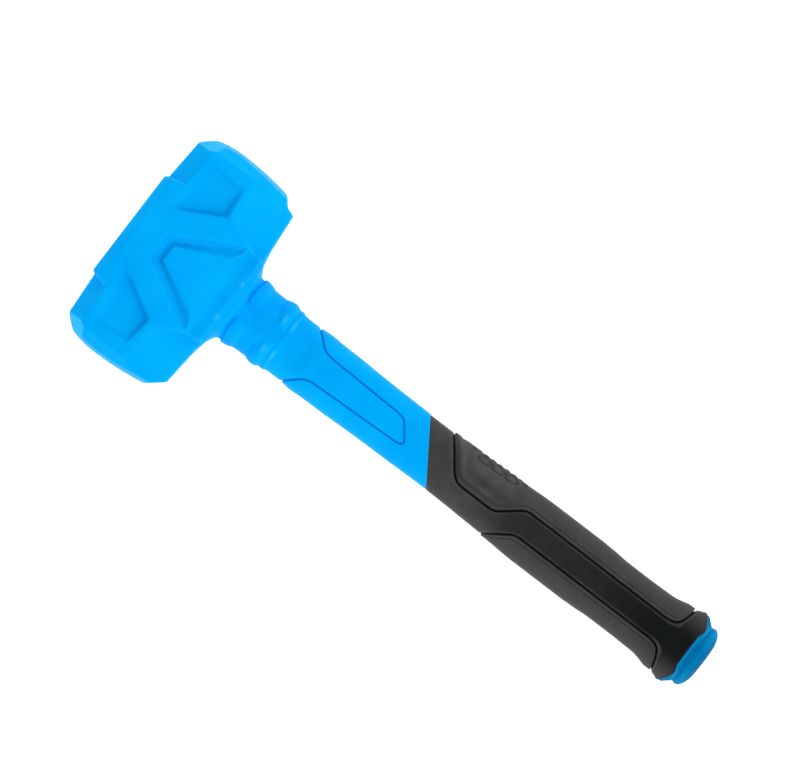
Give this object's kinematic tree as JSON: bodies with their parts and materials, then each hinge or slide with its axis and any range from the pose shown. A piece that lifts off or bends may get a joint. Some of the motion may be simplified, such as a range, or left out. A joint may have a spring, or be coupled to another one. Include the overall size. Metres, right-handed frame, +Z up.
{
  "type": "dead blow hammer",
  "caption": "Dead blow hammer with a faceted cast head around a canister of loose steel shot, a ribbed neck and a padded rubber grip.",
  "frame": {"origin": "centre of the bounding box on the floor that the hammer lies on", "axes": "+X along the handle towards the butt, +Y along the striking axis, +Z up, out of the side of the head"},
  "size_m": [0.3306, 0.1128, 0.0578],
  "materials": {
    "cast_polyurethane": "satin moulded",
    "sleeve_rubber": "matt moulded",
    "pad_rubber": "matt, finely grained",
    "steel": "plain drawn steel",
    "steel_shot": "tumbled steel balls"
  },
  "bodies": {
    "hammer": {"casing": "cast_polyurethane", "canister_tube": "steel", "canister_plug_left": "steel", "canister_plug_right": "steel", "handle_core": "steel", "grip_sleeve": "sleeve_rubber", "thumb_pad": "pad_rubber", "finger_pad": "pad_rubber", "end_cap": "cast_polyurethane"},
    "shot": {"shot_01": "steel_shot", "shot_02": "steel_shot", "shot_03": "steel_shot", "shot_04": "steel_shot", "shot_05": "steel_shot", "shot_06": "steel_shot", "shot_07": "steel_shot", "shot_08": "steel_shot", "shot_09": "steel_shot", "shot_10": "steel_shot", "shot_11": "steel_shot", "shot_12": "steel_shot", "shot_13": "steel_shot", "shot_14": "steel_shot", "shot_15": "steel_shot", "shot_16": "steel_shot", "shot_17": "steel_shot", "shot_18": "steel_shot", "shot_19": "steel_shot", "shot_20": "steel_shot", "shot_21": "steel_shot", "shot_22": "steel_shot", "shot_23": "steel_shot", "shot_24": "steel_shot", "shot_25": "steel_shot", "shot_26": "steel_shot", "shot_27": "steel_shot", "shot_28": "steel_shot", "shot_29": "steel_shot", "shot_30": "steel_shot", "shot_31": "steel_shot", "shot_32": "steel_shot", "shot_33": "steel_shot", "shot_34": "steel_shot", "shot_35": "steel_shot"}
  },
  "joints": [
    {"name": "shot_travel", "type": "slide", "parent": "hammer", "child": "shot", "axis": [0, 1, 0], "range_m": [-0.0093, 0.0093]}
  ]
}
